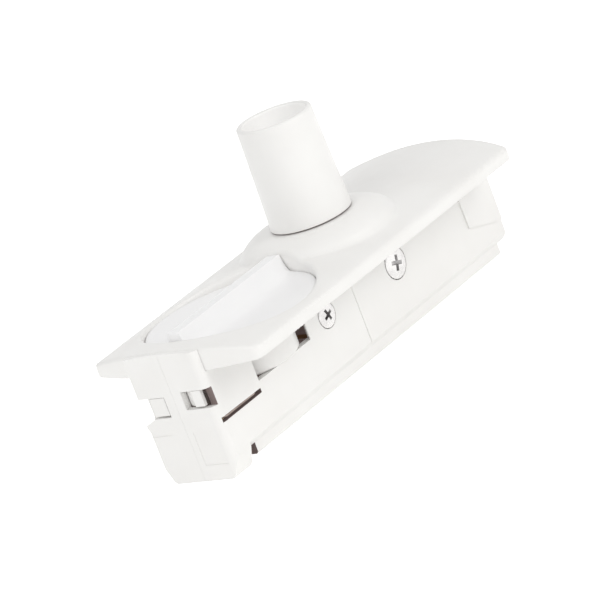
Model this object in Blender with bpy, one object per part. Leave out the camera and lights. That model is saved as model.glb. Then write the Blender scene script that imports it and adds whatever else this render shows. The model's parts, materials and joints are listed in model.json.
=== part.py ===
"""Track light adapter: a crowned cover with a lamp stem and a rotary lock, over a two-part track body.

The long axis is X, the body's seam is the plane y = 0, and the screws enter from the -Y side.
The stem points up. Sizes below are in millimetres; the mesh helpers turn them into metres.
"""
import math

import bmesh
import bpy
from mathutils import Matrix, Vector

MM = 0.001

# Clearances and cutters
past = 1.0                 # how far a cutter runs past the face that it opens
far_past = 5.0             # and where nothing else is near
bite = 0.5                 # how deep pieces of one moulding run into each other
gap = 0.3                  # between pieces that rest on or beside each other
running_gap = 0.4          # round what turns or slides
seam_gap = 0.3             # between the two body halves

# Cover
cover_width = 36.0
cover_length = 84.0        # at the middle of the bowed ends
cover_end_bow = 3.0        # how far each end bows out past its corners
cover_edge = 2.2           # height of the straight side edge
cover_crown = 2.2          # how far the middle stands above that edge
cover_wall = 1.6
edge_round = 0.5

# Turret under the stem, part of the cover
stem_x = 5.0
turret_radius = 13.0
turret_flare = 16.0        # where its foot runs out
turret_rise = 6.6          # above the cover's underside
turret_top_radius = 8.6
shoulder_rise = 4.4
flare_rise = 2.6
flare_share = 0.9          # share of the way to the shoulder that the flare climbs
turret_wall = 1.7
turret_shell = 2.6

# Stem
sleeve_height = 18.6
sleeve_bottom_radius = 7.3
sleeve_top_radius = 6.75
sleeve_gap = 0.5
mouth_radius = 5.4
mouth_break = 0.15         # small chamfer round the mouth
mouth_step = 0.5           # where the mouth starts to narrow
mouth_depth = 3.0
lip_round = 0.6
sleeve_foot_round = 0.4
nipple_radius = 4.9
nipple_bore = 3.9
wire_way_radius = 4.5      # in the body, under the nipple
nipple_below_rim = 4.2
nipple_below_nut = 0.4
nipple_chamfer = 0.4
washer_radius = 8.6
washer_thickness = 0.8
nut_across_flats = 14.0
nut_thickness = 2.2

# Body
body_depth = 18.9          # from the underside of the end block to the cover's underside
body_length = 86.0
body_width = 15.6
body_wall = 1.4
top_wall = 1.2
flange_width = 24.0
flange_thickness = 0.9
flange_end_inset = 4.4
end_tab_depth = 2.0
end_tab_drop = 0.1         # below the crown
corner_rounds = {-1: 1.6, 1: 0.4}
groove_height = 3.5        # where the side face ends above the ledge
groove_slope = 0.6
groove_depth = 1.1
ledge_width = 13.3
ledge_bottom = 0.9
ledge_chamfer = 0.4
ledge_shoulder = 1.2       # from the ledge's straight side up to the groove
ledge_start = -35.8
ledge_end = 41.1
floor_thickness = 1.4
channel_depth = 1.5        # of the narrow channel inside the ledge
end_block_length = 4.9
end_block_foot = 12.3
end_block_chamfer = 3.4
end_block_corner = 0.5
end_block_rise = 1.0
lug_outline = ((33.4, 18.6), (33.6, 9.2), (41.5, 6.9), (43.0, 6.9), (43.0, 18.6))   # (x, z)
rib_outline = ((-0.5, 8.7), (0.0, 9.0), (0.5, 10.2), (0.5, 11.0), (-0.5, 12.2))     # (past the side, z)
panel_inner = 1.3          # shallow panel on the near end face
panel_outer = 6.3
panel_low = 2.8
panel_high = 8.9
panel_depth = 0.1
step_inner = 3.2           # shallow step on the far end face
step_low = 8.7
step_high = 9.0
slope_inner = 5.6          # the far slot's sloping lip
slope_rise = 0.5
slope_fall = 1.4
pad_thickness = 0.3
pad_left = -40.4
rib_width = 1.6            # ribs and posts inside the body
post_stand_off = 0.9       # of the spring's post from the collar
post_width = 1.7
post_inner = 5.3
stop_top = 14.0
rest_inner = 1.2
rest_xs = (-30.0, -4.0, 20.0)
parting_x = -1.0
parting_width = 0.25
parting_depth = 0.12

# Rotary lock
lock_x = -22.5
knob_radius = 14.9
knob_thickness = 2.1
knob_rim_flat = 0.5        # level ring round the dish
knob_rim_round = 0.5
dish_depth = 0.9
dish_curve = 1.5           # how steeply the dish falls from its rim
dish_shares = (0.24, 0.46, 0.62, 0.76, 0.88, 0.96)
grip_width = 2.4
grip_rise = 5.5            # top of the grip above the cover's underside
grip_round = 0.3
grip_end_setback = 0.15    # from the knob's rim
grip_root = 0.6            # how deep the grip runs into the disc
flank_run = 6.0            # width of the hollow flank on each side of the grip
flank_fall = 3.2           # how quickly the flank drops near the grip
flank_shares = (0.06, 0.13, 0.22, 0.34, 0.5, 0.72, 1.0)
well_wall = 1.7
drum_radius = 8.4
lobe_radius = 10.2
lobe_width = 8.4
lobe_steps = 6
waist_steps = 16
plate_waist = 6.4
neck_across = 6.2          # square neck that turns the plate
neck_radius = 2.6
drum_height = 1.9
drum_bottom = 12.0         # above the base
lock_plate_thickness = 1.0
window_bottom = 11.6
window_top = 17.3
window_left = -30.9
window_right = -15.1
sliver = 0.01              # keeps the flat faces of two cutters apart
collar_radius = 6.6
collar_notch = 0.7
notch_radius = 2.0
journal_radius = 4.0
bearing_thickness = 2.2
spigot_across = 5.6
spigot_length = 3.0
drum_round = 0.3
rotor_screw_head = 2.7
rotor_screw_head_height = 1.6
rotor_screw_round = 0.5
rotor_screw_radius = 1.3
rotor_screw_length = 7.0
rotor_recess_length = 2.2
rotor_recess_width = 0.6
rotor_recess_depth = 1.0
screw_point = 0.7
screw_point_radius = 0.4
spring_thickness = 0.4
spring_bow = ((0.9, 5.0), (0.6, 3.2), (0.15, 1.6))   # (stand-off, half length) of the detent spring's bends
spring_nose = -0.1         # its middle, inside the notch

# Contacts
slit_height = 9.7
slit_opening = 0.9
slit_left = -42.1
slit_right = -31.0
slit_depth = 1.5           # in from the cavity's wall
notch_below_groove = 0.6
round_steps = 6
blade_thickness = 0.4
slide_travel = 2.6
slot_bottoms = {-1: 12.9, 1: 11.9}
slot_tops = {-1: 16.2, 1: 15.6}
slot_backs = {-1: -41.8, 1: -40.2}   # end of each corner slot along its side face
slot_inner = 1.9           # end of the corner slot along the end face, from the seam
nose_starts = {-1: 3.9, 1: 2.2}
nose_ends = {-1: 5.9, 1: 5.4}
nose_setback = 0.2         # from the end face
arm_reach = 3.4
web_thickness = 0.35
slide_right = -34.2
slide_clearance = 0.3      # extra, from the seam
follower_inset = 0.2
follower_root = 1.0
blade_inset = 0.8          # from the slit's left end
blade_right_inset = 0.4
blade_setback = 0.5        # of the blade's tip, behind the side face
blade_taper = 0.5
blade_corner = 0.8
finger_length = 6.0        # the strip's bent finger, which the blade rubs on
finger_flat = 5.0
finger_ramp = 3.5
finger_root = 1.0
finger_width = 2.4
finger_low = 1.6
finger_high = 0.6
terminal_bore_rise = 1.9
clamp_low = 2.6            # where the clamping screw's tip stands above the cage's foot
terminal_head_height = 1.3
head_break = 0.3
driver_slot = 0.6
driver_slot_depth = 0.7
slide_thickness = 2.6
follower_right = -31.8
follower_bottom = 12.4
follower_height = 1.3
strip_thickness = 0.5
strip_height = 3.6
strip_bottom = 4.6
strip_left = -39.5
strip_right = 30.0
terminal_x = 25.0
terminal_length = 6.0
terminal_width = 4.2
terminal_height = 5.0
terminal_bore = 1.3
terminal_screw_radius = 1.2
terminal_screw_head = 1.9

# Fasteners through the body
screw_xs = (-9.25, 12.25)
screw_height = 13.0
screw_head_radius = 3.0
screw_head_height = 1.7
screw_shank_radius = 1.3
blind_wall = 0.6           # left at the blind end of each screw hole, inside the cavity's wall
screw_rim = 0.7            # straight edge of the head
screw_dome = (0, 22, 45, 68)
screw_taper = 1.0
screw_tip_radius = 0.5
recess_depth = 1.1
screw_reach = 4.6          # into the far half
counterbore_depth = 0.8
boss_radius = 2.5
recess_width = 0.75
recess_length = 3.0

# Smoothness
turn_steps = 56
small_steps = 20
crown_strips = 20
turret_steps = 6
hole_steps = 32
boss_steps = 24
collar_steps = 40
head_steps = 28
fine_steps = 16
wide_steps = 48

# Derived levels and places
seat = body_depth
half_width = body_width / 2
well_radius = knob_radius + running_gap
flange_top = seat + flange_thickness
turret_top = seat + turret_rise
shoulder_height = seat + shoulder_rise
flare_height = seat + flare_rise
inner_half = half_width - body_wall
body_left = -body_length / 2
body_right = body_length / 2
cavity_left = body_left + body_wall + gap
knob_bottom = seat + gap
knob_top = knob_bottom + knob_thickness
cavity_top = seat - gap - top_wall
drum_top = drum_bottom + drum_height
lock_plate_bottom = drum_top + gap
collar_bottom = lock_plate_bottom + lock_plate_thickness + gap
bearing_top = window_bottom - 0.1
bearing_bottom = bearing_top - bearing_thickness


def crown(y):
    """Height of the cover's top over a line at y."""
    return seat + cover_edge + cover_crown * (1 - (2 * y / cover_width) ** 2)


def new_material(name, colour, roughness, metallic=0.0):
    material = bpy.data.materials.new(name)
    material.use_nodes = True
    shader = material.node_tree.nodes["Principled BSDF"]
    shader.inputs["Base Color"].default_value = (*colour, 1.0)
    shader.inputs["Roughness"].default_value = roughness
    shader.inputs["Metallic"].default_value = metallic
    material.diffuse_color = (*colour, 1.0)
    return material


def make_object(name, mesh_builder, material=None):
    """Closes a bmesh into an object, with its faces turned outwards."""
    bmesh.ops.remove_doubles(mesh_builder, verts=mesh_builder.verts, dist=1e-7)
    bmesh.ops.recalc_face_normals(mesh_builder, faces=mesh_builder.faces)
    mesh = bpy.data.meshes.new(name)
    mesh_builder.to_mesh(mesh)
    mesh_builder.free()
    item = bpy.data.objects.new(name, mesh)
    bpy.context.scene.collection.objects.link(item)
    if material:
        mesh.materials.append(material)
    return item


def combine(item, others, operation):
    """One modifier for a whole group of solids, which are then hidden."""
    group = bpy.data.collections.new(item.name + " " + operation.lower())
    bpy.context.scene.collection.children.link(group)
    for other in others:
        bpy.context.scene.collection.objects.unlink(other)
        group.objects.link(other)
        other.hide_render = True
        other.display_type = "WIRE"
    modifier = item.modifiers.new(operation.lower(), "BOOLEAN")
    modifier.operation = operation
    modifier.solver = "EXACT"
    modifier.operand_type = "COLLECTION"
    modifier.collection = group
    return item


def cut(item, *cutters):
    return combine(item, cutters, "DIFFERENCE")


def join(item, *others):
    return combine(item, others, "UNION")


def prism(name, outline, low, high, axis="Z", material=None):
    """A closed outline pushed from low to high along an axis.

    The outline is in (x, y) for Z, in (x, z) for Y and in (y, z) for X.
    """
    place = {
        "X": lambda u, v, w: (w, u, v),
        "Y": lambda u, v, w: (u, w, v),
        "Z": lambda u, v, w: (u, v, w),
    }[axis]
    shape = bmesh.new()
    rings = [[shape.verts.new(Vector(place(u, v, w)) * MM) for u, v in outline] for w in (low, high)]
    shape.faces.new(rings[0])
    shape.faces.new(rings[1])
    count = len(outline)
    for i in range(count):
        j = (i + 1) % count
        shape.faces.new((rings[0][i], rings[0][j], rings[1][j], rings[1][i]))
    return make_object(name, shape, material)


def block(name, x, y, z, material=None):
    return prism(name, [(x[0], y[0]), (x[1], y[0]), (x[1], y[1]), (x[0], y[1])], *z, material=material)


def arc(centre, radius, start, end, steps):
    """Points on an arc, angles in degrees."""
    turns = [math.radians(start + (end - start) * i / steps) for i in range(steps + 1)]
    return [(centre[0] + radius * math.cos(t), centre[1] + radius * math.sin(t)) for t in turns]


def circle(centre, radius, steps=small_steps):
    """A closed ring whose flats, not its corners, face along the axes."""
    half_step = 180 / steps
    return arc(centre, radius, half_step, 360 + half_step, steps)[:-1]


def turned(name, profile, x=0.0, y=0.0, steps=turn_steps, material=None):
    """A closed (radius, height) profile turned about a vertical axis at (x, y).

    Points at radius zero close the shape on its axis.
    """
    shape = bmesh.new()
    rings = []
    for radius, height in profile:
        if radius == 0:
            rings.append([shape.verts.new(Vector((x, y, height)) * MM)])
        else:
            ring = circle((x, y), radius, steps)
            rings.append([shape.verts.new(Vector((u, v, height)) * MM) for u, v in ring])
    for i, ring in enumerate(rings):
        following = rings[(i + 1) % len(rings)]
        if len(ring) == 1 and len(following) == 1:
            continue
        for k in range(steps):
            m = (k + 1) % steps
            if len(ring) == 1:
                shape.faces.new((ring[0], following[k], following[m]))
            elif len(following) == 1:
                shape.faces.new((ring[k], ring[m], following[0]))
            else:
                shape.faces.new((ring[k], ring[m], following[m], following[k]))
    return make_object(name, shape, material)


def cylinder(name, radius, low, high, x=0.0, y=0.0, steps=turn_steps, material=None):
    return turned(name, [(0, low), (radius, low), (radius, high), (0, high)], x, y, steps, material)


def lay_along_y(item, x, z, sign):
    """Turns a piece made about Z so that its +Z end points along sign * Y, at (x, z)."""
    spin = Matrix.Rotation(math.radians(-90 * sign), 4, "X")
    item.data.transform(Matrix.Translation(Vector((x, 0, z)) * MM) @ spin)
    return item


def smooth(item, angle=32):
    item.data.shade_smooth()
    item.data.set_sharp_from_angle(angle=math.radians(angle))
    return item


def set_origin(item, x, y, z):
    """Moves an object's origin to a point, on a joint's axis, and leaves its mesh where it is."""
    point = Vector((x, y, z)) * MM
    item.data.transform(Matrix.Translation(-point))
    item.location = point
    return item


def crowned_slab(name, inset, bottom, top_drop, material=None, rounding=0.0):
    """The cover's outline, inset all round, from a flat bottom up to the crown less top_drop."""
    half = cover_width / 2
    radius = (half ** 2 + cover_end_bow ** 2) / (2 * cover_end_bow)
    reach = half - inset
    corner = rounding * (1 - math.cos(math.radians(45)))
    rim = [(rounding, 0.0), (corner, -corner), (0.0, -rounding)] if rounding else [(0.0, 0.0)]

    def end_x(y, shrink):
        return cover_length / 2 - radius + math.sqrt((radius - inset - shrink) ** 2 - y ** 2)

    shape = bmesh.new()
    sections = []
    for shrink, drop in rim:
        for_row = []
        for i in range(crown_strips + 1):
            y = (reach - shrink) * (2 * i / crown_strips - 1)
            x = end_x(y, shrink)
            z = crown(y) - top_drop + drop
            for_row.append(((-x, y, z), (x, y, z)))
        sections.append(for_row)
    foot = [((a[0], a[1], bottom), (b[0], b[1], bottom)) for a, b in sections[-1]]
    sections.append(foot)
    rows = [[[shape.verts.new(Vector(p) * MM) for p in pair] for pair in row] for row in sections]
    top, base = rows[0], rows[-1]
    for i in range(crown_strips):
        shape.faces.new((top[i][0], top[i][1], top[i + 1][1], top[i + 1][0]))
        shape.faces.new((base[i][0], base[i][1], base[i + 1][1], base[i + 1][0]))
    for upper, lower in zip(rows, rows[1:]):
        for i in range(crown_strips):
            for side in (0, 1):
                shape.faces.new((upper[i][side], upper[i + 1][side], lower[i + 1][side], lower[i][side]))
        for i in (0, crown_strips):
            shape.faces.new((upper[i][0], upper[i][1], lower[i][1], lower[i][0]))
    return make_object(name, shape, material)


def turret_side():
    """The turret's outside, from the flare that runs out in the crown to its round shoulder."""
    profile = [(turret_flare, flare_height)]
    drop = (shoulder_height - flare_height) * flare_share
    for i in range(1, turret_steps + 1):
        turn = math.pi / 2 * i / turret_steps
        profile.append((turret_radius + (turret_flare - turret_radius) * (1 - math.sin(turn)),
                        flare_height + drop * (1 - math.cos(turn))))
    width = turret_radius - turret_top_radius
    rise = turret_top - shoulder_height
    for i in range(turret_steps):
        turn = math.pi / 2 * i / turret_steps
        profile.append((turret_top_radius + width * math.cos(turn), shoulder_height + rise * math.sin(turn)))
    profile.append((turret_top_radius, turret_top))
    return profile


def build_cover(material):
    """One moulding: crowned flange, turret, knob well and the ribs that seat it on the body."""
    cover = crowned_slab("cover", 0, seat, 0, material, edge_round)
    hollow = crowned_slab("cover hollow", cover_wall, seat - past, cover_wall)
    cut(hollow, cylinder("well core", well_radius + well_wall, knob_bottom, turret_top + far_past, lock_x))
    turret_foot = flange_top + gap
    outline = [(0, turret_foot), (turret_flare, turret_foot)] + turret_side() + [(0, turret_top)]
    turret = turned("turret", outline, stem_x)
    cut(cover, hollow)
    join(cover, turret)
    openings = [
        cylinder("turret hollow", turret_radius - turret_shell, seat - past, turret_top - turret_wall,
                 stem_x),
        cylinder("stem hole", nipple_radius + gap, seat, turret_top + 2 * past, stem_x, steps=hole_steps),
        cylinder("knob well", well_radius, seat - past, turret_top + far_past, lock_x),
    ]
    cut(cover, *openings)
    return smooth(cover, 25)


def build_stem(white, steel, zinc):
    base = turret_top + sleeve_gap
    top = base + sleeve_height
    lip_corner = lip_round * (1 - math.cos(math.radians(45)))
    outer = [
        (nipple_radius + gap, base),
        (sleeve_bottom_radius - sleeve_foot_round, base),
        (sleeve_bottom_radius, base + sleeve_foot_round),
        (sleeve_top_radius, top - lip_round),
        (sleeve_top_radius - lip_corner, top - lip_corner),
        (sleeve_top_radius - lip_round, top),
        (mouth_radius + mouth_break, top),
        (mouth_radius, top - mouth_break),
        (mouth_radius, top - mouth_step),
        (nipple_radius + gap, top - mouth_depth),
    ]
    sleeve = smooth(turned("stem_sleeve", outer, stem_x, material=white), 40)

    nipple_top = top - nipple_below_rim
    nut_top = turret_top - turret_wall - gap - washer_thickness - gap
    nut_bottom = nut_top - nut_thickness
    nipple_bottom = nut_bottom - nipple_below_nut
    chamfer = nipple_chamfer
    tube = [
        (nipple_bore, nipple_bottom),
        (nipple_radius - chamfer, nipple_bottom),
        (nipple_radius, nipple_bottom + chamfer),
        (nipple_radius, nipple_top - chamfer),
        (nipple_radius - chamfer, nipple_top),
        (nipple_bore, nipple_top),
    ]
    nipple = smooth(turned("stem_nipple", tube, stem_x, steps=hole_steps, material=zinc))

    washer_top = turret_top - turret_wall - gap
    washer_profile = [
        (nipple_radius + gap, washer_top - washer_thickness),
        (washer_radius, washer_top - washer_thickness),
        (washer_radius, washer_top),
        (nipple_radius + gap, washer_top),
    ]
    washer = smooth(turned("stem_washer", washer_profile, stem_x, steps=hole_steps, material=steel))

    corner = nut_across_flats / 2 / math.cos(math.radians(30))
    nut = prism("stem_nut", circle((stem_x, 0), corner, 6), nut_bottom, nut_top, material=zinc)
    cut(nut, cylinder("nut bore", nipple_radius + gap, nut_bottom - past, nut_top + past, stem_x,
                      steps=hole_steps))
    for piece in (sleeve, nipple, washer, nut):
        set_origin(piece, stem_x, 0, turret_top)


def knob_disc(material):
    """The round knob: a shallow dish inside a level rim."""
    shape = bmesh.new()
    dish_radius = knob_radius - knob_rim_flat
    corner = knob_rim_round * (1 - math.cos(math.radians(45)))
    profile = [(dish_radius * share, knob_top - dish_depth * math.cos(share * math.pi / 2) ** dish_curve)
               for share in dish_shares]
    profile += [(dish_radius, knob_top), (knob_radius - corner, knob_top - corner),
                (knob_radius, knob_top - knob_rim_round), (knob_radius, knob_bottom)]
    rings = []
    for radius, z in profile:
        ring = circle((lock_x, 0), radius, turn_steps)
        rings.append([shape.verts.new(Vector((u, v, z)) * MM) for u, v in ring])
    middle = shape.verts.new(Vector((lock_x, 0, knob_top - dish_depth)) * MM)
    for k in range(turn_steps):
        m = (k + 1) % turn_steps
        shape.faces.new((middle, rings[0][k], rings[0][m]))
        for inner, outer in zip(rings, rings[1:]):
            shape.faces.new((inner[k], inner[m], outer[m], outer[k]))
    shape.faces.new(rings[-1])
    return make_object("rotary_knob", shape, material)


def grip_section():
    """The grip across its length: a narrow top over two hollow flanks that run out in the disc."""
    top = seat + grip_rise
    low = knob_top - dish_depth
    half = grip_width / 2
    flank = [(half, top - grip_round)]
    flank += [(half + flank_run * share, low + (top - grip_round - low) * (1 - share) ** flank_fall)
              for share in flank_shares]
    side = [(half - grip_round, top)] + flank + [(half + flank_run, low - grip_root)]
    return side + [(-y, z) for y, z in reversed(side)]


def build_knob(material):
    knob = knob_disc(material)
    top = seat + grip_rise
    foot = knob_top - dish_depth - grip_root
    reach = knob_radius - grip_end_setback
    grip = prism("grip", grip_section(), lock_x - knob_radius, lock_x + knob_radius, "X")
    bound = turned(
        "grip ends",
        [(0, foot - past), (reach, foot - past), (reach, top - grip_round),
         (reach - grip_round, top + past / 10),
         (0, top + past / 10)],
        lock_x,
    )
    combine(grip, [bound], "INTERSECT")
    across = spigot_across / 2
    spigot = block("spigot", (lock_x - across, lock_x + across), (-across, across),
                   (knob_bottom - spigot_length, knob_bottom + bite))
    join(knob, grip, spigot)
    pilot = cylinder("knob pilot", rotor_screw_radius + gap / 2, knob_bottom - spigot_length - past,
                     knob_bottom + bite + gap / 2, lock_x, steps=small_steps)
    cut(knob, pilot)
    return set_origin(smooth(knob, 28), lock_x, 0, knob_bottom)


def lobed_outline(radius, waist, width):
    """A round hub with two opposite lobes along X."""
    half = width / 2
    tip = math.degrees(math.asin(half / radius))
    root = math.degrees(math.asin(half / waist))
    points = []
    for turn in (0, 180):
        points += arc((0, 0), radius, turn - tip, turn + tip, lobe_steps)
        points += arc((0, 0), waist, turn + root, turn + 180 - root, waist_steps)
    return [(lock_x + u, v) for u, v in points]


def build_lock(white, steel):
    bottom = bearing_bottom - gap
    collar_top = knob_bottom - gap
    profile = [
        (0, bottom), (journal_radius, bottom), (journal_radius, drum_bottom),
        (drum_radius - drum_round, drum_bottom), (drum_radius, drum_bottom + drum_round),
        (drum_radius, drum_top), (neck_radius, drum_top),
        (neck_radius, collar_bottom), (collar_radius, collar_bottom), (collar_radius, collar_top),
        (0, collar_top),
    ]
    rotor = turned("lock_rotor", profile, lock_x, material=white)
    key = neck_across / 2
    neck = block("neck", (lock_x - key, lock_x + key), (-key, key), (drum_top - bite, collar_bottom + bite))
    join(rotor, neck)
    notch_reach = collar_radius + notch_radius - collar_notch
    notches = [
        cylinder("detent notch", notch_radius, lock_plate_bottom + gap, collar_top + past,
                 lock_x + notch_reach * math.cos(angle), notch_reach * math.sin(angle), small_steps)
        for angle in (0, math.pi / 2, math.pi, math.pi * 1.5)
    ]
    across = spigot_across / 2 + gap
    socket = block("socket", (lock_x - across, lock_x + across), (-across, across),
                   (knob_bottom - spigot_length - gap, collar_top + past))
    bore = cylinder("screw hole", rotor_screw_radius + gap, bottom - past,
                    knob_bottom - spigot_length + past, lock_x,
                    steps=small_steps)
    cut(rotor, socket, bore, *notches)
    set_origin(smooth(rotor), lock_x, 0, drum_bottom)

    plate = prism(
        "lock_plate",
        lobed_outline(lobe_radius, plate_waist, lobe_width),
        lock_plate_bottom,
        lock_plate_bottom + lock_plate_thickness,
        material=steel,
    )
    hole = key + gap
    cut(plate, block("plate hole", (lock_x - hole, lock_x + hole), (-hole, hole), (0, seat)))
    set_origin(smooth(plate), lock_x, 0, lock_plate_bottom)

    head_top = bottom - gap
    head_bottom = head_top - rotor_screw_head_height
    tip = head_top + rotor_screw_length
    profile = [(0, head_bottom), (rotor_screw_head - rotor_screw_round, head_bottom),
               (rotor_screw_head, head_bottom + rotor_screw_round), (rotor_screw_head, head_top),
               (rotor_screw_radius, head_top), (rotor_screw_radius, tip - screw_point),
               (screw_point_radius, tip), (0, tip)]
    screw = turned("rotor_screw", profile, lock_x, steps=small_steps, material=steel)
    cut_cross(screw, (lock_x, 0, head_bottom), "Z", 1, rotor_recess_length, rotor_recess_width,
              rotor_recess_depth)
    set_origin(smooth(screw), lock_x, 0, head_top)


def cut_cross(item, at, axis, inward, length, width, depth):
    """Cuts a cross recess into a screw head, at a point on its face and in a direction."""
    x, y, z = at
    bars = []
    for a, b in ((length / 2, width / 2), (width / 2, length / 2)):
        if axis == "Z":
            span = sorted((z - inward, z + inward * depth))
            bars.append(block("cross", (x - a, x + a), (y - b, y + b), span))
        else:
            span = sorted((y - inward, y + inward * depth))
            bars.append(block("cross", (x - a, x + a), span, (z - b, z + b)))
    cut(item, *bars)


def build_detent(steel):
    """A flat spring whose middle rests in the collar's notch."""
    low = collar_bottom + gap
    high = cavity_top - 2 * gap
    reach = lock_x + collar_radius + gap
    outer = [(reach + stand_off, -half) for stand_off, half in spring_bow]
    outer.append((reach + spring_nose, 0.0))
    outer += [(reach + stand_off, half) for stand_off, half in reversed(spring_bow)]
    inner = [(x + spring_thickness, y) for x, y in reversed(outer)]
    return smooth(prism("detent_spring", outer + inner, low, high, material=steel), 60)


def body_prism(name, section, x, side):
    """A (distance from the seam, height) outline pushed along X, on one side of the seam."""
    return prism(name, [(side * y, z) for y, z in section], *x, axis="X")


def side_block(name, x, y, z, side):
    return block(name, x, sorted((side * y[0], side * y[1])), z)


def lock_windows(side):
    """The openings that the lock's lobes swing out through."""
    sweep = cylinder("lock sweep", lobe_radius + running_gap, window_bottom, window_top, lock_x,
                     steps=wide_steps)
    opening = side_block("lock window", (window_left, window_right),
                         (inner_half - past, half_width + 2 * past),
                         (window_bottom + sliver, window_top - sliver), side)
    return sweep, opening


def end_block_cuts(side):
    """The corner slot, the blade slit, the notch and the rounded corner at the contact end."""
    outer = half_width + 2 * past
    corner_round = corner_rounds[side]
    middle = half_width - corner_round
    corner = [(body_left - past, side * outer), (body_left - past, side * middle)]
    corner += [(x, side * y) for x, y in arc((body_left + corner_round, middle), corner_round, 180, 90,
                                             round_steps)]
    corner += [(body_left + corner_round, side * outer)]
    return [
        side_block("corner slot", (body_left - past, slot_backs[side]), (slot_inner, outer),
                   (slot_bottoms[side], slot_tops[side]), side),
        side_block("slot mouth", (body_left - past, cavity_left), (slot_inner, inner_half),
                   (slot_bottoms[side] + sliver, slot_tops[side] - sliver), side),
        side_block("blade slit", (slit_left, slit_right), (inner_half - slit_depth, outer),
                   (slit_height, slit_height + slit_opening), side),
        side_block("notch", (body_left + end_block_length, ledge_start), (-past, outer),
                   (-past, groove_height - notch_below_groove), side),
        prism("corner", corner, -past, seat + 2 * far_past),
    ]


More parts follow.
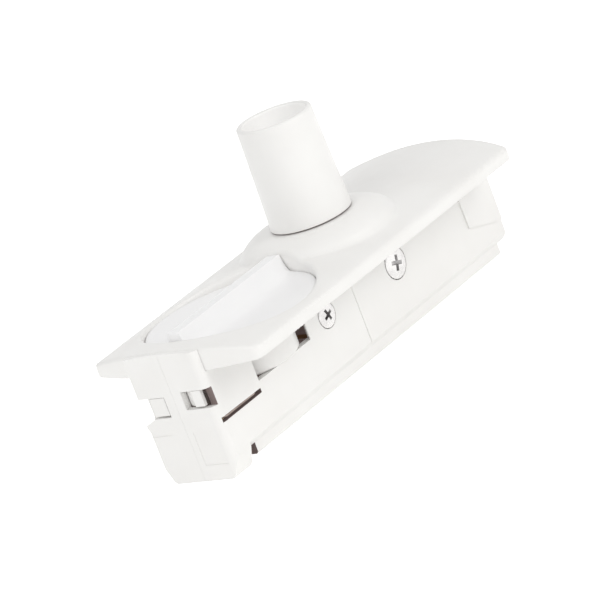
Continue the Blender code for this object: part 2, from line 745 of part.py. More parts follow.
def build_half(name, side, material):
    """One half shell of the body; side is -1 for the half with the screw heads."""
    seam = seam_gap / 2
    body_top = seat - gap
    groove_half = half_width - groove_depth
    upper = [(seam, groove_height - bite), (groove_half, groove_height - bite),
             (half_width, groove_height + groove_slope), (half_width, body_top), (seam, body_top)]
    half = body_prism(name, upper, (body_left, body_right), side)
    half.data.materials.append(material)

    ledge_half = ledge_width / 2
    ledge = [(seam, ledge_bottom), (ledge_half - ledge_chamfer, ledge_bottom),
             (ledge_half, ledge_bottom + ledge_chamfer), (ledge_half, groove_height - ledge_shoulder),
             (groove_half, groove_height - ledge_chamfer), (groove_half, groove_height),
             (seam, groove_height)]
    foot_half = end_block_foot / 2
    foot = [(seam, 0), (foot_half, 0), (foot_half + end_block_corner, end_block_corner),
            (half_width, end_block_chamfer), (half_width, groove_height + end_block_rise),
            (seam, groove_height + end_block_rise)]
    flange = side_block("flange", (lock_x + knob_radius - past, body_right - flange_end_inset),
                        (seam, flange_width / 2), (body_top - gap, flange_top), side)
    under = side_block("under flange", (body_left, body_right), (half_width, flange_width), (0, seat), side)
    cut(flange, under, cylinder("round the well", well_radius + well_wall + gap, seat, flange_top + past,
                                lock_x),
        cylinder("under the turret", turret_radius - turret_shell, seat, flange_top + past, stem_x))
    rise = [(seam, crown(seam) - end_tab_drop), (half_width / 2, crown(half_width / 2) - end_tab_drop),
            (half_width, crown(half_width) - end_tab_drop)]
    tab_outline = [(half_width, body_top - bite), (seam, body_top - bite)] + rise
    tab = body_prism("end tab", tab_outline, (body_left, body_left + end_tab_depth), side)
    cut(tab, crowned_slab("cover clearance", -gap, body_top, -far_past))
    join(half, body_prism("ledge", ledge, (ledge_start, ledge_end), side),
         body_prism("end block", foot, (body_left, body_left + end_block_length), side), flange, tab)
    pads = [side_block("block pad", (pad_left, slit_right), (half_width - bite, half_width + pad_thickness),
                       (slit_height + slit_opening, body_top), side)]
    low, high = sorted((side * (half_width - bite), side * (half_width + pad_thickness)))
    pads.append(prism("end lug", lug_outline, low, high, "Y"))
    if side > 0:
        rib = [(half_width + out, z) for out, z in rib_outline]
        pads.append(body_prism("side rib", rib, (body_left, slit_right), side))
    join(half, *pads)

    inner_left = body_left + body_wall
    inner_right = body_right - body_wall
    floor = ledge_bottom + floor_thickness
    raised = groove_height + floor_thickness
    cavity_floor = floor + channel_depth
    step_x = ledge_start + body_wall
    hollow = prism(
        "hollow",
        [(inner_left, raised), (step_x, raised), (step_x, cavity_floor), (inner_right, cavity_floor),
         (inner_right, cavity_top), (inner_left, cavity_top)],
        *sorted((-side, side * inner_half)),
        axis="Y",
    )
    low_hollow = side_block("low hollow", (step_x, ledge_end - body_wall), (-past, ledge_half - body_wall),
                            (floor, floor + 2 * channel_depth), side)
    cut(half, hollow, low_hollow, *lock_windows(side))

    bearing = side_block("bearing", (lock_x - drum_radius, lock_x + drum_radius), (seam, inner_half + bite),
                         (bearing_bottom, bearing_top), side)
    post_left = lock_x + collar_radius + post_stand_off
    terminal_end = terminal_x + terminal_length / 2
    posts = [
        side_block("spring post", (post_left, post_left + post_width), (post_inner, inner_half + bite),
                   (collar_bottom + gap, cavity_top + bite), side),
        side_block("terminal stop", (terminal_end + gap, terminal_end + rib_width),
                   (seam, inner_half + bite), (strip_bottom + strip_height + gap, stop_top), side),
    ]
    rests = [side_block("strip rest", (x, x + rib_width), (rest_inner, ledge_half - bite),
                        (floor - bite, strip_bottom - gap), side)
             for x in rest_xs]
    join(half, bearing, *posts, *rests)
    for x in screw_xs:
        boss = cylinder("boss", boss_radius, seam, inner_half + bite, steps=boss_steps)
        join(half, lay_along_y(boss, x, screw_height, side))
    cuts = [
        cylinder("journal hole", journal_radius + running_gap, 0, drum_bottom, lock_x, steps=hole_steps),
        cylinder("collar hole", collar_radius + running_gap, drum_bottom, seat + 2 * past, lock_x,
                 steps=collar_steps),
        cylinder("wire way", wire_way_radius, cavity_top - past, seat + 2 * past, stem_x, steps=boss_steps),
    ]
    cuts += end_block_cuts(side)
    for x in screw_xs:
        reach = half_width + past if side < 0 else inner_half - blind_wall
        hole = cylinder("screw way", screw_shank_radius + gap, -past, reach, steps=small_steps)
        cuts.append(lay_along_y(hole, x, screw_height, side))
        if side < 0:
            bore = cylinder("counterbore", screw_head_radius + gap, half_width - counterbore_depth,
                            half_width + 2 * past, steps=head_steps)
            cuts.append(lay_along_y(bore, x, screw_height, side))
    if side < 0:
        cuts.append(side_block("parting line", (parting_x, parting_x + parting_width),
                               (half_width - parting_depth, half_width + past),
                               (groove_height + parting_width, seat + past), side))
        cuts.append(side_block("end panel", (body_left - past, body_left + panel_depth),
                               (panel_inner, panel_outer),
                               (panel_low, panel_high), side))
    else:
        low = slot_bottoms[side]
        slope = [(slope_inner, low + slope_rise), (slope_inner, low), (half_width + past, low - slope_fall),
                 (half_width + past, low + slope_rise)]
        cuts.append(body_prism("slot slope", slope, (body_left - past, slot_backs[side]), side))
        cuts.append(side_block("end step", (body_left - past, body_left + panel_depth),
                               (step_inner, half_width + past),
                               (step_low, step_high), side))
    cut(half, *cuts)
    return smooth(half, 20)


def build_screws(steel):
    head = half_width - counterbore_depth + gap
    for label, x in zip(("left", "right"), screw_xs):
        top = head + screw_head_height
        dome = [(screw_head_radius * math.cos(t),
                 head + screw_rim + (screw_head_height - screw_rim) * math.sin(t))
                for t in (math.radians(a) for a in screw_dome)]
        profile = [(0, -screw_reach), (screw_tip_radius, -screw_reach),
                   (screw_shank_radius, screw_taper - screw_reach),
                   (screw_shank_radius, head), (screw_head_radius, head)] + dome + [(0, top)]
        screw = turned("housing_screw_" + label, profile, steps=boss_steps, material=steel)
        lay_along_y(screw, x, screw_height, -1)
        cut_cross(screw, (x, -top, screw_height), "Y", 1, recess_length, recess_width, recess_depth)
        smooth(screw, 50)


def build_contacts(side, prefix, white, brass, steel):
    """The sliding contact of one side, its fixed strip and its terminal."""
    low = slot_bottoms[side] + gap
    high = slot_tops[side] - gap / 2
    inner = seam_gap / 2 + running_gap + slide_clearance
    level = slit_height + (slit_opening - blade_thickness) / 2
    slide = side_block(prefix + "_contact_slide", (cavity_left, slide_right),
                       (inner, inner + slide_thickness),
                       (low, high), side)
    slide.data.materials.append(white)
    nose_right = slot_backs[-1] - gap
    web_left = nose_right - web_thickness
    arm = side_block("arm", (web_left, cavity_left + past), (slot_inner + gap, arm_reach), (low, high), side)
    web = side_block("web", (web_left, nose_right), (slot_inner + gap, nose_ends[side]), (low, high), side)
    nose = side_block("nose", (body_left + nose_setback, nose_right), (nose_starts[side], nose_ends[side]),
                      (low, high),
                      side)
    part_width = (inner + follower_inset, inner + slide_thickness - follower_inset)
    foot = side_block("foot", (cavity_left + follower_inset, slide_right - follower_root), part_width,
                      (level + blade_thickness + gap, low + bite), side)
    follower = side_block("follower", (slide_right - follower_root, follower_right), part_width,
                          (follower_bottom, follower_bottom + follower_height), side)
    join(slide, arm, web, nose, foot, follower)
    smooth(slide)

    left = slit_left + blade_inset
    right = slit_right - blade_right_inset
    tip = half_width - blade_setback
    outline = [(left, inner), (right - blade_taper, inner), (right, tip - blade_corner),
               (right - blade_corner, tip),
               (left + blade_corner, tip), (left, tip - blade_corner)]
    blade = prism(prefix + "_contact_blade", [(x, side * y) for x, y in outline], level,
                  level + blade_thickness,
                  material=brass)
    smooth(blade)

    face = ledge_width / 2 - body_wall - gap
    strip = side_block(prefix + "_contact_strip", (strip_left + finger_length, strip_right),
                       (face - strip_thickness, face),
                       (strip_bottom, strip_bottom + strip_height), side)
    strip.data.materials.append(brass)
    rise = level - gap
    bend = strip_bottom + strip_height
    ramp = strip_left + finger_flat
    root = ramp + finger_ramp
    finger = [(strip_left, rise - strip_thickness), (ramp, rise - strip_thickness), (root, bend - finger_low),
              (root + finger_root, bend - finger_low), (root + finger_root, bend - finger_high),
              (root, bend - finger_high), (ramp, rise), (strip_left, rise)]
    low, high = sorted((side * (face - finger_width), side * face))
    foot = side_block("terminal foot", (terminal_x - terminal_length / 2, strip_right),
                      (face - terminal_width, face),
                      (bend - strip_thickness, bend), side)
    join(strip, prism("finger", finger, low, high, "Y"), foot)
    smooth(strip)

    middle = face - terminal_width / 2
    low = bend + gap
    cage = side_block(prefix + "_terminal",
                      (terminal_x - terminal_length / 2, terminal_x + terminal_length / 2),
                      (middle - terminal_width / 2, middle + terminal_width / 2),
                      (low, low + terminal_height), side)
    cage.data.materials.append(brass)
    bore = cylinder("wire bore", terminal_bore, -terminal_length, terminal_length, steps=fine_steps)
    bore.data.transform(Matrix.Translation(Vector((terminal_x, side * middle, low + terminal_bore_rise)) * MM)
                        @ Matrix.Rotation(math.radians(90), 4, "Y"))
    hole = cylinder("clamp hole", terminal_screw_radius + gap / 2, low + clamp_low - gap / 2,
                    low + terminal_height + past, terminal_x, side * middle, fine_steps)
    cut(cage, bore, hole)
    smooth(cage)

    top = low + terminal_height
    head = top + gap
    crest = head + terminal_head_height
    profile = [(0, low + clamp_low), (terminal_screw_radius, low + clamp_low), (terminal_screw_radius, head),
               (terminal_screw_head, head), (terminal_screw_head, crest - head_break),
               (terminal_screw_head - head_break, crest), (0, crest)]
    screw = turned(prefix + "_terminal_screw", profile, terminal_x, side * middle, fine_steps, steel)
    slot = block("driver slot", (terminal_x - far_past, terminal_x + far_past),
                 (side * middle - driver_slot / 2, side * middle + driver_slot / 2),
                 (crest - driver_slot_depth, crest + past))
    smooth(cut(screw, slot))


def main():
    for item in list(bpy.data.objects):
        bpy.data.objects.remove(item)
    white = new_material("white moulding", (0.86, 0.855, 0.84), 0.38)
    knob_white = new_material("knob moulding", (0.89, 0.89, 0.895), 0.34)
    steel = new_material("plated steel", (0.62, 0.61, 0.60), 0.3, 1.0)
    zinc = new_material("zinc", (0.55, 0.55, 0.56), 0.35, 1.0)
    brass = new_material("brass", (0.72, 0.55, 0.28), 0.3, 1.0)

    build_cover(white)
    build_stem(white, steel, zinc)
    build_knob(knob_white)
    build_lock(white, steel)
    build_detent(steel)
    build_half("near_housing", -1, white)
    build_half("far_housing", 1, white)
    build_screws(steel)
    build_contacts(-1, "near", white, brass, steel)
    build_contacts(1, "far", white, brass, steel)


main()
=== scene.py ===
# Track light adapter: a white crowned cover with a lamp stem and a turn lock, on a two-part track body.
# Lengths in the dictionaries are millimetres, and the mesh helpers turn them into metres.
import json
import math

import bmesh
import bpy
from mathutils import Matrix, Vector, kdtree
from mathutils.geometry import delaunay_2d_cdt

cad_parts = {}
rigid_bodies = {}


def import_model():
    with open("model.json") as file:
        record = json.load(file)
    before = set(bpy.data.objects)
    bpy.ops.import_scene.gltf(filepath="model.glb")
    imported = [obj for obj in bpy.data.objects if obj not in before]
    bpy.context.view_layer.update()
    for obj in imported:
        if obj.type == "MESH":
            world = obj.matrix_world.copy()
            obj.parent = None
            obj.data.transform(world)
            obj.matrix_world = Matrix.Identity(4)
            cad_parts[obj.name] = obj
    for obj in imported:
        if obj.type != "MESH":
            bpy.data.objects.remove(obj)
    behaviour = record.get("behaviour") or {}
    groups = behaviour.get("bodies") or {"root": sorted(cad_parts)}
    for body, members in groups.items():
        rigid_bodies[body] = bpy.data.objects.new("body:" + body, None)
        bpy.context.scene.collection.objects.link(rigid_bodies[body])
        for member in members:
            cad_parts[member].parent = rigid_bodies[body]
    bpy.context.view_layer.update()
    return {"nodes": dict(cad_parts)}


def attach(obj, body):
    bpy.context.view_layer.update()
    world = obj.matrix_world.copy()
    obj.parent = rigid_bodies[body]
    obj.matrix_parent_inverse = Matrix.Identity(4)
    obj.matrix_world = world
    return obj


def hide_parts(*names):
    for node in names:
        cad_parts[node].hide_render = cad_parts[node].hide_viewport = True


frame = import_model()
mm = 0.001
print("frame: the packed part is in the scene")


def addNode(tree, kind, x, y, **settings):
    node = tree.nodes.new(kind)
    node.location = (x, y)
    for key, value in settings.items():
        setattr(node, key, value)
    return node


def makeGroup(name, inputs, outputs):
    group = bpy.data.node_groups.new(name, "ShaderNodeTree")
    for label, kind, value in inputs:
        socket = group.interface.new_socket(label, in_out="INPUT", socket_type=kind)
        socket.default_value = value
    for label, kind in outputs:
        group.interface.new_socket(label, in_out="OUTPUT", socket_type=kind)
    entry = addNode(group, "NodeGroupInput", -900, 0)
    leave = addNode(group, "NodeGroupOutput", 700, 0)
    return group, entry, leave


def makeMouldGroup():
    # moulded plastic: slow colour drift from the fill, fine spark-eroded grain, uneven gloss
    group, entry, leave = makeGroup(
        "mouldedSkin",
        [("Colour", "NodeSocketColor", (0.8, 0.8, 0.8, 1)), ("Drift Colour", "NodeSocketColor", (0.7, 0.7, 0.7, 1)),
         ("Drift Scale", "NodeSocketFloat", 90.0), ("Grain Scale", "NodeSocketFloat", 2600.0),
         ("Gloss Low", "NodeSocketFloat", 0.3), ("Gloss High", "NodeSocketFloat", 0.42)],
        [("Colour", "NodeSocketColor"), ("Roughness", "NodeSocketFloat"), ("Height", "NodeSocketFloat")],
    )
    link = group.links.new
    place = addNode(group, "ShaderNodeTexCoord", -900, -300)
    drift = addNode(group, "ShaderNodeTexNoise", -600, 150)
    drift.inputs["Detail"].default_value = 3.0
    spread = addNode(group, "ShaderNodeMapRange", -380, 150)
    spread.inputs["From Min"].default_value = 0.36
    spread.inputs["From Max"].default_value = 0.66
    tone = addNode(group, "ShaderNodeMix", -120, 200, data_type="RGBA")
    grain = addNode(group, "ShaderNodeTexNoise", -600, -150)
    grain.inputs["Detail"].default_value = 2.0
    sheen = addNode(group, "ShaderNodeTexNoise", -600, -420)
    sheen.inputs["Scale"].default_value = 420.0
    sheen.inputs["Detail"].default_value = 4.0
    gloss = addNode(group, "ShaderNodeMapRange", -120, -300)
    gloss.inputs["From Min"].default_value = 0.3
    gloss.inputs["From Max"].default_value = 0.7
    for noise in (drift, grain, sheen):
        link(place.outputs["Object"], noise.inputs["Vector"])
    link(entry.outputs["Drift Scale"], drift.inputs["Scale"])
    link(entry.outputs["Grain Scale"], grain.inputs["Scale"])
    link(drift.outputs["Fac"], spread.inputs["Value"])
    link(spread.outputs["Result"], tone.inputs["Factor"])
    link(entry.outputs["Colour"], tone.inputs["A"])
    link(entry.outputs["Drift Colour"], tone.inputs["B"])
    link(sheen.outputs["Fac"], gloss.inputs["Value"])
    link(entry.outputs["Gloss Low"], gloss.inputs["To Min"])
    link(entry.outputs["Gloss High"], gloss.inputs["To Max"])
    link(tone.outputs["Result"], leave.inputs["Colour"])
    link(gloss.outputs["Result"], leave.inputs["Roughness"])
    link(grain.outputs["Fac"], leave.inputs["Height"])
    return group


def makeMetalGroup():
    # plated or drawn metal: streaks along one axis, dull patches, fine pitting
    group, entry, leave = makeGroup(
        "workedMetal",
        [("Colour", "NodeSocketColor", (0.7, 0.7, 0.7, 1)), ("Dull Colour", "NodeSocketColor", (0.5, 0.5, 0.5, 1)),
         ("Streak Scale", "NodeSocketFloat", 900.0), ("Streak Stretch", "NodeSocketVector", (1.0, 1.0, 8.0)),
         ("Gloss Low", "NodeSocketFloat", 0.15), ("Gloss High", "NodeSocketFloat", 0.32)],
        [("Colour", "NodeSocketColor"), ("Roughness", "NodeSocketFloat"), ("Height", "NodeSocketFloat")],
    )
    link = group.links.new
    place = addNode(group, "ShaderNodeTexCoord", -1100, -200)
    stretch = addNode(group, "ShaderNodeVectorMath", -880, -200, operation="MULTIPLY")
    streak = addNode(group, "ShaderNodeTexNoise", -640, -200)
    streak.inputs["Detail"].default_value = 3.0
    patch = addNode(group, "ShaderNodeTexNoise", -640, 160)
    patch.inputs["Scale"].default_value = 260.0
    patch.inputs["Detail"].default_value = 5.0
    wear = addNode(group, "ShaderNodeMapRange", -400, 160)
    wear.inputs["From Min"].default_value = 0.45
    wear.inputs["From Max"].default_value = 0.75
    tone = addNode(group, "ShaderNodeMix", -120, 160, data_type="RGBA")
    gloss = addNode(group, "ShaderNodeMapRange", -120, -260)
    gloss.inputs["From Min"].default_value = 0.3
    gloss.inputs["From Max"].default_value = 0.7
    link(place.outputs["Object"], stretch.inputs[0])
    link(entry.outputs["Streak Stretch"], stretch.inputs[1])
    link(stretch.outputs["Vector"], streak.inputs["Vector"])
    link(entry.outputs["Streak Scale"], streak.inputs["Scale"])
    link(place.outputs["Object"], patch.inputs["Vector"])
    link(patch.outputs["Fac"], wear.inputs["Value"])
    link(wear.outputs["Result"], tone.inputs["Factor"])
    link(entry.outputs["Colour"], tone.inputs["A"])
    link(entry.outputs["Dull Colour"], tone.inputs["B"])
    link(streak.outputs["Fac"], gloss.inputs["Value"])
    link(entry.outputs["Gloss Low"], gloss.inputs["To Min"])
    link(entry.outputs["Gloss High"], gloss.inputs["To Max"])
    link(tone.outputs["Result"], leave.inputs["Colour"])
    link(gloss.outputs["Result"], leave.inputs["Roughness"])
    link(streak.outputs["Fac"], leave.inputs["Height"])
    return group


mouldGroup = makeMouldGroup()
metalGroup = makeMetalGroup()

plasticFinishes = {
    "whiteMoulding": dict(colour=(0.870, 0.864, 0.848), drift=(0.842, 0.832, 0.814), driftScale=70, grainScale=2600,
                          gloss=(0.34, 0.46), grain=0.10, coat=0.08),
    "knobMoulding": dict(colour=(0.905, 0.903, 0.905), drift=(0.885, 0.882, 0.886), driftScale=60, grainScale=2600,
                         gloss=(0.30, 0.42), grain=0.08, coat=0.10),
    "sleeveMoulding": dict(colour=(0.872, 0.868, 0.852), drift=(0.846, 0.838, 0.822), driftScale=80, grainScale=3200,
                           gloss=(0.36, 0.50), grain=0.14, coat=0.05),
    # painted light: a copy of the sleeve's moulding with a glow, for the inside of the mouth
    "mouthPaintedLight": dict(colour=(0.872, 0.866, 0.852), drift=(0.846, 0.836, 0.822), driftScale=80, grainScale=3200,
                          gloss=(0.36, 0.50), grain=0.14, coat=0.05, glow=0.17),
    # painted shade: a dark brown moulding with a faint glow, for cavity walls and undersides where shade falls
    "paintedShadeMoulding": dict(colour=(0.150, 0.112, 0.106), drift=(0.095, 0.070, 0.066), driftScale=420, grainScale=2600,
                           gloss=(0.50, 0.65), grain=0.10, coat=0.0, glow=0.30),
}
metalFinishes = {
    "nickelPlate": dict(colour=(0.66, 0.65, 0.645), dull=(0.50, 0.49, 0.485), streak=1400, stretch=(1, 1, 1),
                        gloss=(0.20, 0.34), bump=0.06),
    # painted shade: a darker copy of the nickel for the faces inside the cross recess
    "recessPaintedShade": dict(colour=(0.50, 0.49, 0.49), dull=(0.20, 0.195, 0.195), streak=1800, stretch=(1, 1, 1),
                        gloss=(0.24, 0.40), bump=0.14),
    "zincPlate": dict(colour=(0.62, 0.63, 0.65), dull=(0.50, 0.51, 0.52), streak=900, stretch=(1, 1, 6),
                      gloss=(0.28, 0.42), bump=0.08),
    "springSteel": dict(colour=(0.60, 0.60, 0.61), dull=(0.46, 0.45, 0.44), streak=700, stretch=(0.15, 1, 1),
                        gloss=(0.22, 0.36), bump=0.08),
    "contactBrass": dict(colour=(0.78, 0.60, 0.34), dull=(0.60, 0.44, 0.25), streak=800, stretch=(0.15, 1, 1),
                         gloss=(0.22, 0.38), bump=0.08),
    # a copper tone darkened with painted shade, for the blades that sit in the slit
    "bladeCopperPaintedShade": dict(colour=(0.36, 0.30, 0.27), dull=(0.20, 0.155, 0.14), streak=800, stretch=(0.15, 1, 1),
                        gloss=(0.30, 0.50), bump=0.08),
}


def startMaterial(name, colour):
    material = bpy.data.materials.new(name)
    material.use_nodes = True
    material.diffuse_color = (*colour, 1)
    tree = material.node_tree
    shader = tree.nodes["Principled BSDF"]
    shader.location = (400, 0)
    bump = addNode(tree, "ShaderNodeBump", 150, -300)
    bump.inputs["Distance"].default_value = 0.00004
    tree.links.new(bump.outputs["Normal"], shader.inputs["Normal"])
    return material, tree, shader, bump


def joinGroup(tree, shader, bump, group, values):
    skin = addNode(tree, "ShaderNodeGroup", -200, 0, node_tree=group)
    for label, value in values.items():
        skin.inputs[label].default_value = value
    tree.links.new(skin.outputs["Colour"], shader.inputs["Base Color"])
    tree.links.new(skin.outputs["Roughness"], shader.inputs["Roughness"])
    tree.links.new(skin.outputs["Height"], bump.inputs["Height"])


def makePlastic(name, look):
    material, tree, shader, bump = startMaterial(name, look["colour"])
    joinGroup(tree, shader, bump, mouldGroup, {
        "Colour": (*look["colour"], 1), "Drift Colour": (*look["drift"], 1), "Drift Scale": look["driftScale"],
        "Grain Scale": look["grainScale"], "Gloss Low": look["gloss"][0], "Gloss High": look["gloss"][1]})
    bump.inputs["Strength"].default_value = look["grain"]
    shader.inputs["Coat Weight"].default_value = look["coat"]
    shader.inputs["Coat Roughness"].default_value = 0.2
    if "glow" in look:
        # stands in for the light that many bounces would bring into the cavities
        shader.inputs["Emission Color"].default_value = (*look["colour"], 1)
        shader.inputs["Emission Strength"].default_value = look["glow"]
    return material


def makeMetal(name, look):
    material, tree, shader, bump = startMaterial(name, look["colour"])
    joinGroup(tree, shader, bump, metalGroup, {
        "Colour": (*look["colour"], 1), "Dull Colour": (*look["dull"], 1), "Streak Scale": look["streak"],
        "Streak Stretch": look["stretch"], "Gloss Low": look["gloss"][0], "Gloss High": look["gloss"][1]})
    bump.inputs["Strength"].default_value = look["bump"]
    shader.inputs["Metallic"].default_value = 1.0
    return material


finishes = {name: makePlastic(name, look) for name, look in plasticFinishes.items()}
finishes.update({name: makeMetal(name, look) for name, look in metalFinishes.items()})
print("materials:", ", ".join(sorted(finishes)))


def toObject(name, shape, *materials):
    bmesh.ops.recalc_face_normals(shape, faces=shape.faces)
    mesh = bpy.data.meshes.new(name)
    shape.to_mesh(mesh)
    shape.free()
    piece = bpy.data.objects.new(name, mesh)
    bpy.context.scene.collection.objects.link(piece)
    for material in materials:
        mesh.materials.append(finishes[material])
    return piece


def applyModifiers(piece):
    depsgraph = bpy.context.evaluated_depsgraph_get()
    mesh = bpy.data.meshes.new_from_object(piece.evaluated_get(depsgraph))
    old = piece.data
    piece.modifiers.clear()
    piece.data = mesh
    bpy.data.meshes.remove(old)
    return piece


def softShade(piece, angle):
    piece.data.shade_smooth()
    piece.data.set_sharp_from_angle(angle=math.radians(angle))
    return piece


def ringPoints(centre, radius, count, turn=0.0):
    return [(centre[0] + radius * math.cos(turn + 2 * math.pi * i / count),
             centre[1] + radius * math.sin(turn + 2 * math.pi * i / count)) for i in range(count)]


def vertexAt(shape, x, y, z):
    return shape.verts.new((x * mm, y * mm, z * mm))


def bridge(shape, ring, after):
    # the strip of quads between two closed rings of the same length
    for i, j in zip(range(len(ring)), [*range(1, len(ring)), 0]):
        shape.faces.new((ring[i], ring[j], after[j], after[i]))


def lathe(name, profile, centre, steps, material, angle=35):
    # a closed (radius, height) profile turned about a vertical line; radius 0 closes it on the line
    shape = bmesh.new()
    rings = []
    for radius, height in profile:
        spots = [centre] if radius == 0 else ringPoints(centre, radius, steps)
        rings.append([vertexAt(shape, x, y, height) for x, y in spots])
    for ring, after in zip(rings, rings[1:] + rings[:1]):
        if len(ring) > 1 and len(after) > 1:
            bridge(shape, ring, after)
            continue
        for k in range(steps):
            m = (k + 1) % steps
            if len(ring) > 1:
                shape.faces.new((ring[k], ring[m], after[0]))
            elif len(after) > 1:
                shape.faces.new((ring[0], after[k], after[m]))
    return softShade(toObject(name, shape, material), angle)


def staggeredGrid(step, start, count):
    # rows of points, every other row shifted by half a step
    return [((i + 0.5 * (j % 2)) * step + start[0], j * step + start[1])
            for j in range(count[1]) for i in range(count[0])]


def close(value, target, within=0.02):
    return abs(value - target) < within


def roundDrop(distance, radius):
    # how far a rounded edge falls at a distance in from that edge
    if distance >= radius:
        return 0.0
    inside = radius - max(distance, 0.0)
    return radius - math.sqrt(max(radius * radius - inside * inside, 0.0))


def blendMax(a, b, width):
    overlap = max(width - abs(a - b), 0.0) / width
    return max(a, b) + overlap * overlap * width / 4


class PointBed:
    # plan points for a skin, kept a least distance apart, with the loops that edges must follow
    def __init__(self):
        self.spots = []
        self.loops = []

    def addLoop(self, spots):
        start = len(self.spots)
        self.spots += spots
        self.loops += [(start + i, start + (i + 1) % len(spots)) for i in range(len(spots))]

    def addFree(self, spots, apart, allowed):
        tree = kdtree.KDTree(len(self.spots) + 1)
        for i, (x, y) in enumerate(self.spots):
            tree.insert((x, y, 0), i)
        tree.balance()
        for x, y in spots:
            if allowed(x, y) and tree.find((x, y, 0))[2] > apart:
                self.spots.append((x, y))

    def triangles(self, inHole):
        spots = [Vector(spot) for spot in self.spots]
        points, _, faces = delaunay_2d_cdt(spots, self.loops, [], 0, 1e-6)[:3]
        kept = []
        for face in faces:
            x = sum(points[i].x for i in face) / len(face)
            y = sum(points[i].y for i in face) / len(face)
            if not inHole(x, y):
                kept.append(tuple(face))
        return [(p.x, p.y) for p in points], kept


def skinSolid(name, spots, faces, topHeight, baseHeight, *materials):
    # closes a plan into a solid between two height functions
    shape = bmesh.new()
    used = sorted({i for face in faces for i in face})
    upper = {i: vertexAt(shape, *spots[i], topHeight(*spots[i])) for i in used}
    lower = {i: vertexAt(shape, *spots[i], baseHeight(*spots[i])) for i in used}
    sides = {}
    for face in faces:
        shape.faces.new([upper[i] for i in face])
        shape.faces.new([lower[i] for i in reversed(face)])
        for a, b in zip(face, face[1:] + face[:1]):
            sides[(a, b)] = sides.get((a, b), 0) + 1
    for a, b in sides:
        if (b, a) not in sides:
            shape.faces.new((upper[b], upper[a], lower[a], lower[b]))
    return toObject(name, shape, *materials)


def copyNode(node, name, material):
    # a welded copy of a CAD node's mesh, flat areas merged, ready for its edges to be rounded
    shape = bmesh.new()
    shape.from_mesh(frame["nodes"][node].data)
    bmesh.ops.remove_doubles(shape, verts=shape.verts, dist=2e-6)
    bmesh.ops.dissolve_limit(shape, angle_limit=math.radians(0.6), verts=shape.verts, edges=shape.edges)
    return toObject(name, shape, material)


def keepEdges(piece, keep, angle=28):
    # marks the edges to round by weight: every sharp one but those that keep() names
    shape = bmesh.new()
    shape.from_mesh(piece.data)
    weight = shape.edges.layers.float.get("bevel_weight_edge") or shape.edges.layers.float.new("bevel_weight_edge")
    for edge in shape.edges:
        sharp = len(edge.link_faces) == 2 and edge.calc_face_angle(0.0) > math.radians(angle)
        edge[weight] = 0.0 if not sharp or keep(*(vertex.co / mm for vertex in edge.verts)) else 1.0
    shape.to_mesh(piece.data)
    shape.free()


def roundEdges(piece, width, segments=2, angle=28, weighted=False):
    bevel = piece.modifiers.new("rounded edges", "BEVEL")
    bevel.width = width * mm
    bevel.segments = segments
    bevel.limit_method = "WEIGHT" if weighted else "ANGLE"
    bevel.angle_limit = math.radians(angle)
    bevel.use_clamp_overlap = True
    applyModifiers(piece)
    softShade(piece, 40)
    level = piece.modifiers.new("even shading", "WEIGHTED_NORMAL")
    level.keep_sharp = True
    return applyModifiers(piece)


def stand(piece, body, slot, *nodes):
    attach(piece, body)
    if nodes:
        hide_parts(*nodes)
    return piece


cover = dict(
    width=36.0, length=84.45, bow=3.0, seat=18.9, sideHeight=2.2, crown=2.2, wall=1.6,
    edgeRound=0.55, footRound=0.2, cornerRound=1.2,
    wellX=-22.5, wellRadius=15.3, wellRound=0.7, wellWall=1.7,
    stemX=5.0, holeRadius=5.2, holeRound=0.25,
    domeTop=25.66, domeFlat=7.4, domeRadius=13.7, domeFall=3.8, domeBlend=2.8, domeSkirt=3.0, domeSlope=3.0,
    domeHollow=10.4, domeRoof=23.8, domeFootRadius=16.0, domeFoot=20.1,
    outlineStep=0.62, wellSteps=190, holeSteps=72, domeSteps=150,
    # point rings over the dome: first radius, distance between rings, reach past the dome's foot, points per mm
    skinStart=6.0, skinRise=0.42, skinPast=0.8, skinSteps=11,
    gridStep=0.72, gridStart=(-42, -18), gridCount=(118, 51),
    # distances of the denser point rows from the well's rim, the outline and the stem's hole
    wellRows=(0.05, 0.14, 0.28, 0.5, 0.8, 1.2), edgeRows=(0.05, 0.14, 0.28, 0.5), holeRows=(0.06, 0.16, 0.3),
    # half the width of the step where the underside changes its height
    turn=0.05,
    # least distances between points: in rows, in steps, on the dome and elsewhere
    rowApart=0.04, turnApart=0.08, domeApart=0.26, gridApart=0.42,
    # free points stay this far inside the outline and outside the well's rim
    edgeClear=0.03, rimClear=0.02,
)


def coverInset(x, y):
    # distance in from the cover's outline, with its four corners eased
    c = cover
    half = c["width"] / 2
    bend = (half ** 2 + c["bow"] ** 2) / (2 * c["bow"])
    end = bend - math.hypot(abs(x) + bend - c["length"] / 2, y)
    side = half - abs(y)
    r = c["cornerRound"]
    if end < r and side < r:
        return r - math.hypot(r - end, r - side)
    return min(end, side)


def crownHeight(y):
    c = cover
    return c["seat"] + c["sideHeight"] + c["crown"] * (1 - (2 * y / c["width"]) ** 2)


def coverTop(x, y):
    c = cover
    reach = math.hypot(x - c["stemX"], y)
    height = crownHeight(y)
    if reach < c["domeRadius"] + c["domeSkirt"]:
        share = min(max((reach - c["domeFlat"]) / (c["domeRadius"] - c["domeFlat"]), 0.0), 1.0)
        dome = c["domeTop"] - c["domeFall"] * (1 - math.sqrt(1 - share ** 2))
        dome -= max(reach - c["domeRadius"], 0) * c["domeSlope"]
        height = blendMax(height, dome, c["domeBlend"])
    drop = max(roundDrop(coverInset(x, y), c["edgeRound"]),
               roundDrop(math.hypot(x - c["wellX"], y) - c["wellRadius"], c["wellRound"]),
               roundDrop(reach - c["holeRadius"], c["holeRound"]))
    return height - drop


